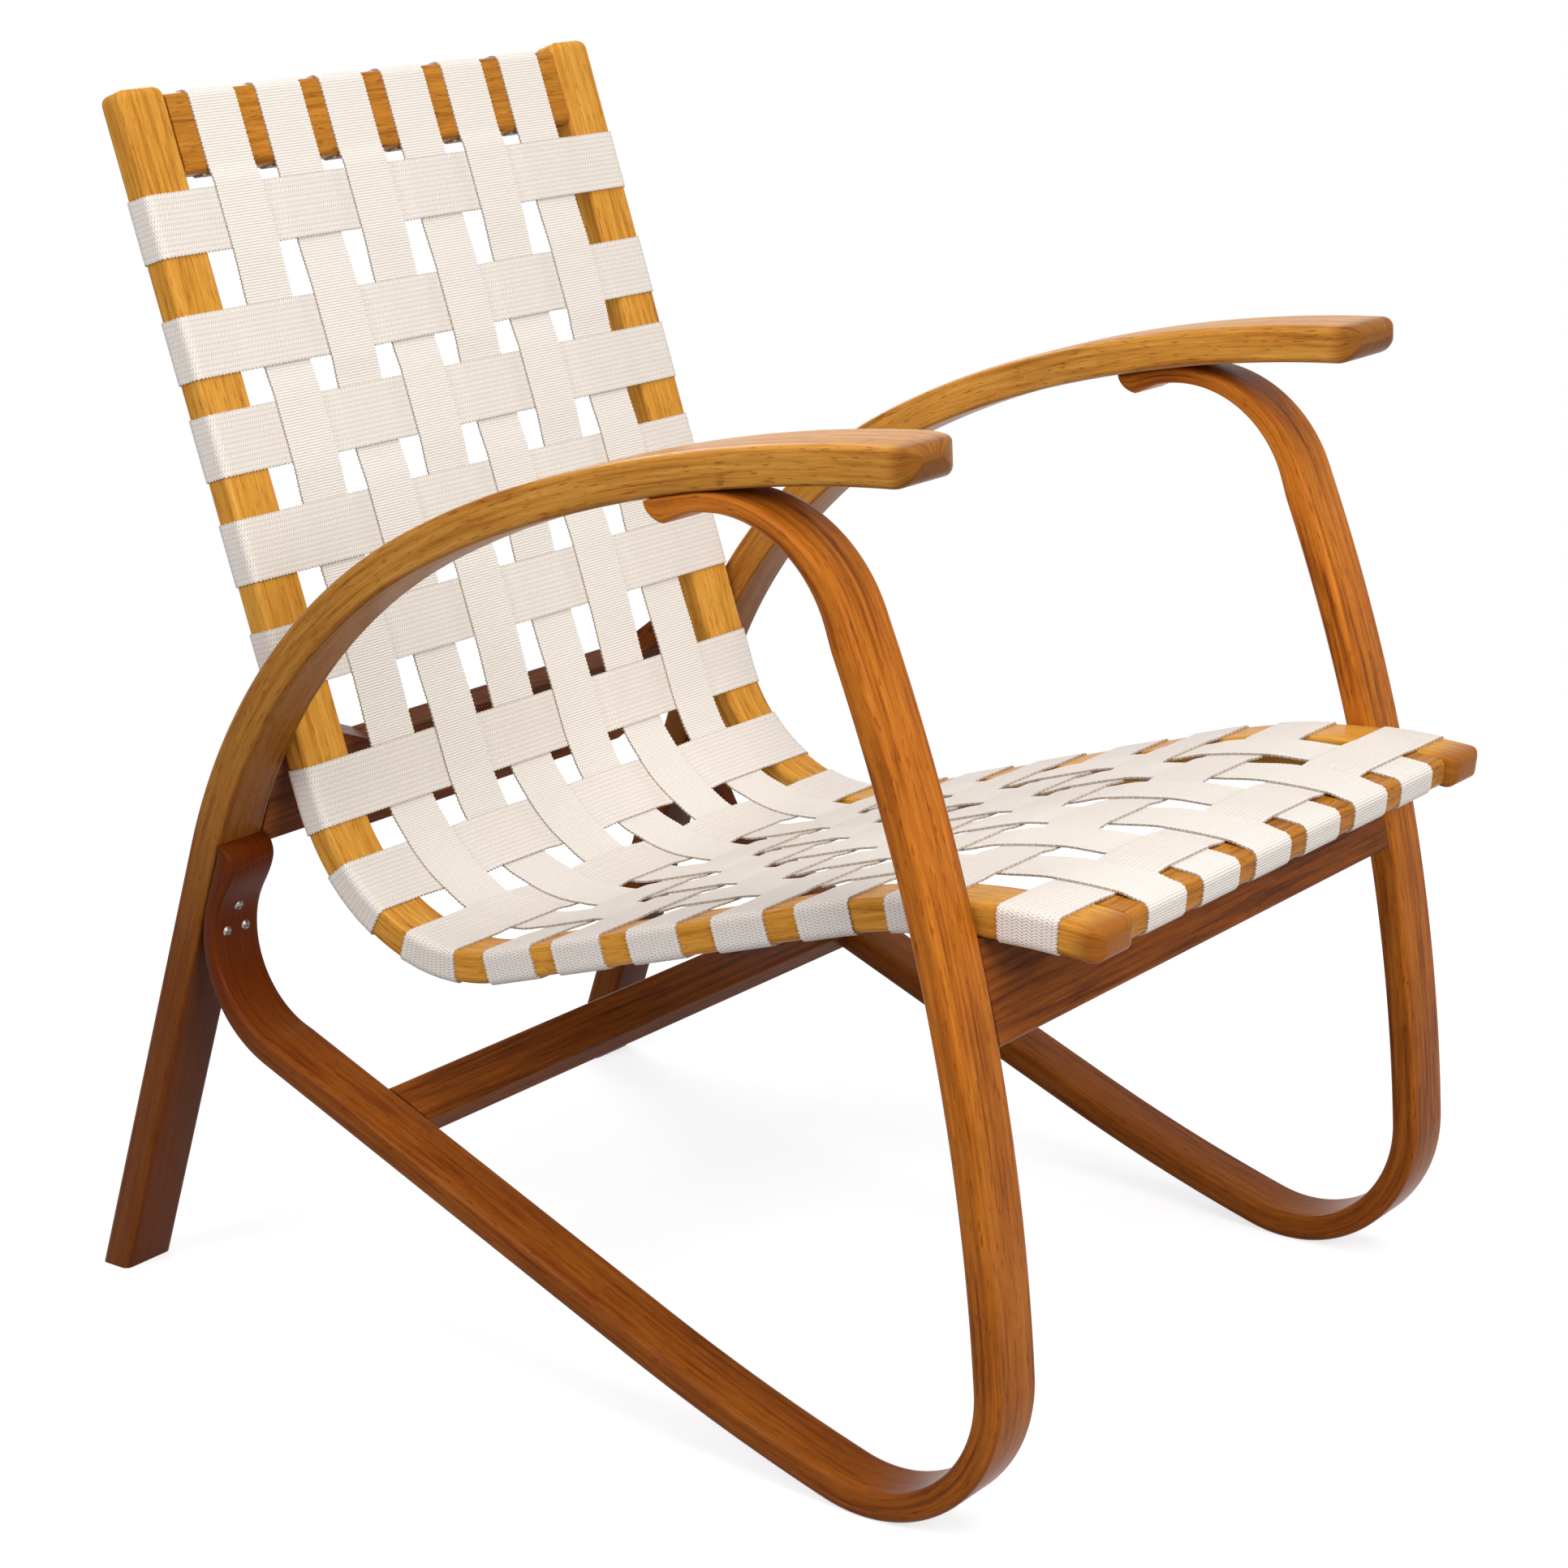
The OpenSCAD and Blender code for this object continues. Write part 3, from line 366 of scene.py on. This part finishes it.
def armrest_width(along):
    """Full width at the front, then two arcs that bring the inner edge in to the bar's width."""
    share = (along - FULL_LENGTH) / TAPER_LENGTH
    if share <= 0 or share >= 1:
        return ARMREST_WIDTH if share <= 0 else BAR_WIDTH
    step = ARMREST_WIDTH - BAR_WIDTH
    radius = (TAPER_LENGTH ** 2 + step ** 2) / (4 * step)
    near_end = min(share, 1 - share) * TAPER_LENGTH
    drop = radius - math.sqrt(radius ** 2 - near_end ** 2)
    return ARMREST_WIDTH - drop if share < 0.5 else BAR_WIDTH + drop


for side_name, side, nose in (("right", -1, RIGHT_NOSE), ("left", 1, LEFT_NOSE)):
    arm = planed_bar(BAR_WIDTH, ARM_THICKNESS, route_length(arm_route), edge=5, spacing=5,
                     near_ends=(NOSE_TIP, 0.5, 1, 1.7, 2.6, 3.7, 6.4, 8, 12, 14, 17, 22.5))
    mark_grain(arm, (side * 700, 0, 90))
    for v in arm.verts:
        along = max(v.co.y, NOSE_TIP)
        width = armrest_width(along)
        out_share = (v.co.x + BAR_WIDTH / 2) / BAR_WIDTH
        outer = BAR_WIDTH / 2 - corner_cut(along, nose["outer"])
        inner = BAR_WIDTH / 2 - width + corner_cut(along, nose["inner"])
        up_share = (v.co.z + ARM_THICKNESS / 2) / ARM_THICKNESS
        top = ARM_THICKNESS / 2 - corner_cut(along, nose["top"])
        bottom = min(-ARM_THICKNESS / 2 + corner_cut(along, nose["toe"]), top - THINNEST)
        v.co = (inner + out_share * (outer - inner), along, bottom + up_share * (top - bottom))
    bend(arm, arm_route, FRAME_MIDDLE, side)
    bmesh.ops.bisect_plane(arm, geom=arm.verts[:] + arm.edges[:] + arm.faces[:],
                           plane_co=(0, 0, 0), plane_no=(0, 0, -1), clear_outer=True)
    bmesh.ops.holes_fill(arm, edges=[e for e in arm.edges if e.is_boundary], sides=0)
    piece = set_up(side_name + "_armrest_and_leg", arm, arm_beech)
    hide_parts(side_name + "_arm_leg")

# The two seat rails carry the webbing. Each is a lighter bar, bent from the roll at the seat's
# front through the hollow behind the seat and straight up the back.
RAIL_WIDTH, RAIL_THICKNESS, RAIL_MIDDLE, RAIL_EDGE = 42, 22, 226, 4
SIDE_ROUNDING, FACE_ROUNDING = 9, 6
rail_route = ((-428.725, 407.51), 6.7, [(507, -23.7), (298, 0), (122, 89.4), (510, 0)])
rail_length = route_length(rail_route)
rail_beech = varnished_beech("bent_beech_seat_rail_varnish", "#dca34a", "#cf9036", "#ac6c26",
                             deep="#8a4312", darker=((1, 0.026, 0.004, 0.75),))
for side_name, side in (("right", -1), ("left", 1)):
    rail = planed_bar(RAIL_WIDTH, RAIL_THICKNESS, rail_length, edge=RAIL_EDGE, spacing=4,
                      near_ends=(0.3, 1, 2, 3, 5.5, 7))
    mark_grain(rail, (side * 150, 0, 150))
    for v in rail.verts:
        from_end = min(v.co.y, rail_length - v.co.y)
        v.co.x *= 1 - 2 * corner_cut(from_end, SIDE_ROUNDING) / RAIL_WIDTH
        v.co.z *= 1 - 2 * corner_cut(from_end, FACE_ROUNDING) / RAIL_THICKNESS
        v.co.z -= RAIL_THICKNESS / 2
    bend(rail, rail_route, RAIL_MIDDLE, side)
    piece = set_up(side_name + "_bent_seat_rail", rail, rail_beech)
    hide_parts(side_name + "_seat_rail")


# The straight boards and bars between the sides are sawn and planed, with eased edges. The
# cross rails are stained darker than the two bars that the webbing wraps.
def dress(node_name, material):
    """Gives a CAD node another material."""
    for holder in nodes[node_name].material_slots:
        holder.material = material


board_beech = varnished_beech("planed_beech_dark_stain", "#9a5219", "#7f4112", "#4c1f08",
                              boards=True)
bar_beech = varnished_beech("planed_beech_honey_varnish", "#c4832f", "#b17227", "#8a4e1a",
                            boards=True)
for board in ("front_cross_rail", "rear_cross_rail", "lower_cross_rail"):
    dress(board, board_beech)
for bar in ("back_top_bar", "seat_front_bar"):
    dress(bar, bar_beech)

# The webbing is 45 mm cotton tape with a picot edge. Six lengths run from the top bar down the
# back and over the seat to the front bar, and are nailed where they end.
LENGTHWISE, CROSS = 6, 15
STRAP_WIDTH, STRAP_THICKNESS, SLACK, WEAVE_EASE = 45, 1.4, 0.1, 1
rail_inner, rail_outer = RAIL_MIDDLE - RAIL_WIDTH / 2, RAIL_MIDDLE + RAIL_WIDTH / 2
PITCH_SHARE = 0.158
PITCH = 2 * rail_inner * PITCH_SHARE
strap_middles = [(i - (LENGTHWISE + 1) / 2) * PITCH for i in range(1, LENGTHWISE + 1)]
CROSS_SHARES = (0.062, 0.1325, 0.19, 0.252, 0.317, 0.399, 0.459, 0.517, 0.5765,
                0.63, 0.687, 0.749, 0.8075, 0.868, 0.938)
cross_starts = [rail_length * (1 - share) - STRAP_WIDTH for share in CROSS_SHARES]
ON_FACE = SLACK + STRAP_THICKNESS / 2
LOW, HIGH = 0, 2 * ON_FACE
ROW, TOOTH, ACROSS = 1.6, 0.9, (0, 9, 21)
TWILL_BAND, THREAD, KNOT, THREAD_SHIFT = 3.6, 2.0, 2.6, 37


def cotton_tape(name, crest, groove_shade, herringbone):
    """Woven cotton tape. Its threads are about 0.8 mm, drawn here at 2 mm so that they show.
    The twill's lines turn back in bands 3.6 mm wide, and the plain tape has ribs across it."""
    material, tree = blank_material(name)

    def maths(operation, *values):
        return add(tree, "Math", dict(enumerate(values)), operation=operation).outputs[0]

    thread = add(tree, "Attribute", attribute_name="thread").outputs["Vector"]
    parts = add(tree, "SeparateXYZ", {0: thread})
    across_mm = maths("MULTIPLY", parts.outputs[0], 1 / MM)
    along_mm = maths("MULTIPLY", parts.outputs[1], 1 / MM)
    if herringbone:
        fold = maths("PINGPONG", across_mm, TWILL_BAND)
        slanted = maths("MULTIPLY_ADD", fold, 0.5, along_mm)
        line = maths("SINE", maths("MULTIPLY", slanted, 2 * math.pi / THREAD))
        valley = maths("COSINE", maths("MULTIPLY", across_mm, 2 * math.pi / TWILL_BAND))
        height = maths("MULTIPLY_ADD", valley, -0.35, line)
    else:
        row = maths("DIVIDE", along_mm, THREAD)
        shifted = maths("ADD", across_mm, maths("MULTIPLY", maths("FLOOR", row), KNOT / 2))
        rib = maths("COSINE", maths("MULTIPLY", row, 2 * math.pi))
        knot = maths("SINE", maths("MULTIPLY", shifted, 2 * math.pi / KNOT))
        height = maths("MULTIPLY_ADD", knot, 0.35, rib)
    lint = add(tree, "TexNoise", {"Vector": thread, "Scale": 700, "Detail": 3, "Roughness": 0.7})
    fuzzy = maths("MULTIPLY_ADD", lint.outputs["Fac"], 1.2, height)
    # The colour follows the weave's height: painted shade in the grooves between threads, and the
    # lint's own tone on top.
    tone = add(tree, "MapRange", {"Value": fuzzy, "From Min": -0.8, "From Max": 1.6})
    colour = add(tree, "Mix", {"Factor": tone.outputs[0], 6: linear(groove_shade), 7: linear(crest)},
                 data_type="RGBA")
    bump = add(tree, "Bump", {"Height": fuzzy, "Strength": 0.5, "Distance": 0.0003})
    cloth = add(tree, "BsdfPrincipled", {"Base Color": colour.outputs[2], "Roughness": 0.88,
                                         "Normal": bump.outputs[0], "Sheen Weight": 0.12})
    add(tree, "OutputMaterial", {"Surface": cloth.outputs[0]})
    return material


def eased(knots):
    """Heights along a strap as close points: flat on each knot pair and smooth between pairs."""
    line = []
    for (a, high_a), (b, high_b) in zip(knots, knots[1:]):
        count = max(2, round(abs(b - a)))
        for k in range(count):
            t = k / count
            line.append((a + (b - a) * t, high_a + (high_b - high_a) * t * t * (3 - 2 * t)))
    return line + [knots[-1]]


def round_edge(centre, radius, start, turn, count=12):
    """Points of a strap's middle as it turns round an edge."""
    angles = [math.radians(start + turn * k / count) for k in range(count + 1)]
    return [(centre[0] + radius * math.cos(a), centre[1] + radius * math.sin(a)) for a in angles]


def evenly(line, spacing):
    """The line's points again, evenly spaced, and its length."""
    travelled = [0]
    for p, q in zip(line, line[1:]):
        travelled.append(travelled[-1] + math.dist(p, q))
    total = travelled[-1]
    count = round(total / spacing)
    even, k = [], 0
    for row in range(count + 1):
        want = total * row / count
        while k < len(line) - 2 and travelled[k + 1] < want:
            k += 1
        t = (want - travelled[k]) / max(travelled[k + 1] - travelled[k], 1e-9)
        even.append(tuple(p + (q - p) * t for p, q in zip(line[k], line[k + 1])))
    return even, total


def tape(line, number):
    """A flat tape with a row of points for each point of a line, and its thread directions kept.
    It comes as a mesh and a list of each point, its place across the tape and its place on the
    line. Every second row is narrower, which makes the small teeth of the picot edge."""
    rows = len(line) - 1
    mesh = bmesh.new()
    bmesh.ops.create_grid(mesh, x_segments=2 * len(ACROSS), y_segments=rows, size=0.5)
    thread = mesh.verts.layers.float_vector.new("thread")
    placed = []
    for e in mesh.edges:
        e.smooth = not e.is_boundary
    for v in mesh.verts:
        row = round((v.co.y + 0.5) * rows)
        step = round(abs(v.co.x) * 2 * len(ACROSS))
        half = (*ACROSS, STRAP_WIDTH / 2 - (0 if row % 2 else TOOTH))[step]
        across = math.copysign(half, v.co.x)
        v[thread] = Vector((across, row * ROW + THREAD_SHIFT * number, 0)) * MM
        placed.append((v, across, line[row]))
    return mesh, placed


def finish_tape(name, mesh, material, node_name):
    """Gives the tape its thickness and lets it ride on the chair."""
    piece = set_up(name, mesh, material, smooth_under=0)
    body = piece.modifiers.new("tape_thickness", "SOLIDIFY")
    body.thickness = STRAP_THICKNESS * MM
    body.offset = 0
    # The rim faces, the tape's edges, take the darker edge material: painted shade.
    body.material_offset_rim = 1
    piece.data.materials.append(edge_shade)
    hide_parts(node_name)


plain_tape = cotton_tape("ribbed_cotton_webbing", "#f1ebe4", "#cec4ba", herringbone=False)
twill_tape = cotton_tape("herringbone_cotton_webbing", "#f0e9e2", "#c5bab0", herringbone=True)
# The tape's edges are painted darker: painted shade along them, where tapes cross and wrap.
edge_shade = cotton_tape("webbing_edges_painted_shade", "#cdc0b2", "#9c8b79", herringbone=False)
TOP_BAR_WIDTH, TOP_BAR_THICKNESS, TOP_BAR_FROM_END = 58, 18, 6
FRONT_BAR_WIDTH, FRONT_BAR_THICKNESS, FRONT_BAR_FROM_END = 30, 20, 7
BAR_INSET, BAR_EDGE = 1.2, 5.5
top_end = rail_length - TOP_BAR_FROM_END
top_low = top_end - TOP_BAR_WIDTH
front_end, front_back = FRONT_BAR_FROM_END, FRONT_BAR_FROM_END + FRONT_BAR_WIDTH
under_front = -BAR_INSET - FRONT_BAR_THICKNESS
behind_top = -BAR_INSET - TOP_BAR_THICKNESS
turn_radius = BAR_EDGE + ON_FACE
bar_face = ON_FACE - BAR_INSET
for i, middle_x in enumerate(strap_middles, 1):
    weave = []
    for j in range(CROSS, 0, -1):
        height = LOW if (i + j) % 2 else HIGH
        start = cross_starts[j - 1]
        weave += [(start - WEAVE_EASE, height), (start + STRAP_WIDTH + WEAVE_EASE, height)]
    knots = ([(front_end + BAR_EDGE, bar_face)] + weave
             + [(top_low + BAR_EDGE, bar_face), (top_end - BAR_EDGE, bar_face)])
    line = ([(front_back - BAR_EDGE, under_front - ON_FACE)]
            + round_edge((front_end + BAR_EDGE, under_front + BAR_EDGE), turn_radius, -90, -90)
            + round_edge((front_end + BAR_EDGE, -BAR_INSET - BAR_EDGE), turn_radius, 180, -90)
            + eased(knots)[1:-1]
            + round_edge((top_end - BAR_EDGE, -BAR_INSET - BAR_EDGE), turn_radius, 90, -90)
            + round_edge((top_end - BAR_EDGE, behind_top + BAR_EDGE), turn_radius, 0, -90)
            + round_edge((top_low + BAR_EDGE, behind_top + BAR_EDGE), turn_radius, -90, -90)
            + [(top_low - ON_FACE, -BAR_INSET - BAR_EDGE)])
    even, length = evenly(line, ROW)
    mesh, placed = tape(even, i)
    for v, across, (station, height) in placed:
        v.co = (middle_x + across, station, height)
    bend(mesh, rail_route)
    finish_tape(f"lengthwise_webbing_{i}", mesh, plain_tape, f"lengthwise_strap_{i}")

# Fifteen cross lengths pass over and under the six in turn, each one opposite to the last.
# They wrap both rails round their rounded edges and are tacked beneath.
radius = RAIL_EDGE + ON_FACE
left_turn = (round_edge((rail_outer - RAIL_EDGE, -RAIL_EDGE), radius, 90, -90)
             + round_edge((rail_outer - RAIL_EDGE, RAIL_EDGE - RAIL_THICKNESS), radius, 0, -90)
             + [(rail_inner + RAIL_EDGE, -RAIL_THICKNESS - ON_FACE)])
right_turn = [(-x, height) for x, height in reversed(left_turn)]
for j in range(1, CROSS + 1):
    weave = []
    for i, middle_x in enumerate(strap_middles, 1):
        height = HIGH if (i + j) % 2 else LOW
        weave += [(middle_x - STRAP_WIDTH / 2 - WEAVE_EASE, height),
                  (middle_x + STRAP_WIDTH / 2 + WEAVE_EASE, height)]
    knots = ([(-rail_outer + RAIL_EDGE, ON_FACE), (-rail_inner, ON_FACE)] + weave
             + [(rail_inner, ON_FACE), (rail_outer - RAIL_EDGE, ON_FACE)])
    even, length = evenly(right_turn + eased(knots)[1:-1] + left_turn, ROW)
    mesh, placed = tape(even, j)
    for v, across, (x, height) in placed:
        v.co = (x, cross_starts[j - 1] + STRAP_WIDTH / 2 - across, height)
    bend(mesh, rail_route)
    finish_tape(f"cross_webbing_{j}", mesh, twill_tape, f"cross_strap_{j}")


# Round-headed screws hold the scroll ends, and domed nails and flat tacks hold the webbing.
# They are nickel-plated steel, dulled by age.
def plated_steel(name, tint, roughness):
    """Plated metal whose shine varies a little from spot to spot."""
    material, tree = blank_material(name)
    place = add(tree, "TexCoord").outputs["Object"]
    spots = add(tree, "TexNoise", {"Vector": place, "Scale": 900, "Detail": 3})
    dull = add(tree, "MapRange", {"Value": spots.outputs["Fac"], "To Min": roughness - 0.1,
                                  "To Max": roughness + 0.15})
    metal = add(tree, "BsdfPrincipled", {"Base Color": linear(tint), "Metallic": 1.0,
                                         "Roughness": dull.outputs[0]})
    add(tree, "OutputMaterial", {"Surface": metal.outputs[0]})
    return material


nickel = plated_steel("aged_nickel_plate", "#8f8b86", 0.34)
for fastener in ("rear_joint_screws", "arm_tab_screws", "rear_rail_screws", "top_bar_nails",
                 "lengthwise_tacks", "right_rail_tacks", "left_rail_tacks"):
    dress(fastener, nickel)

# The picture keeps its plain colours.
bpy.context.scene.view_settings.view_transform = "Standard"
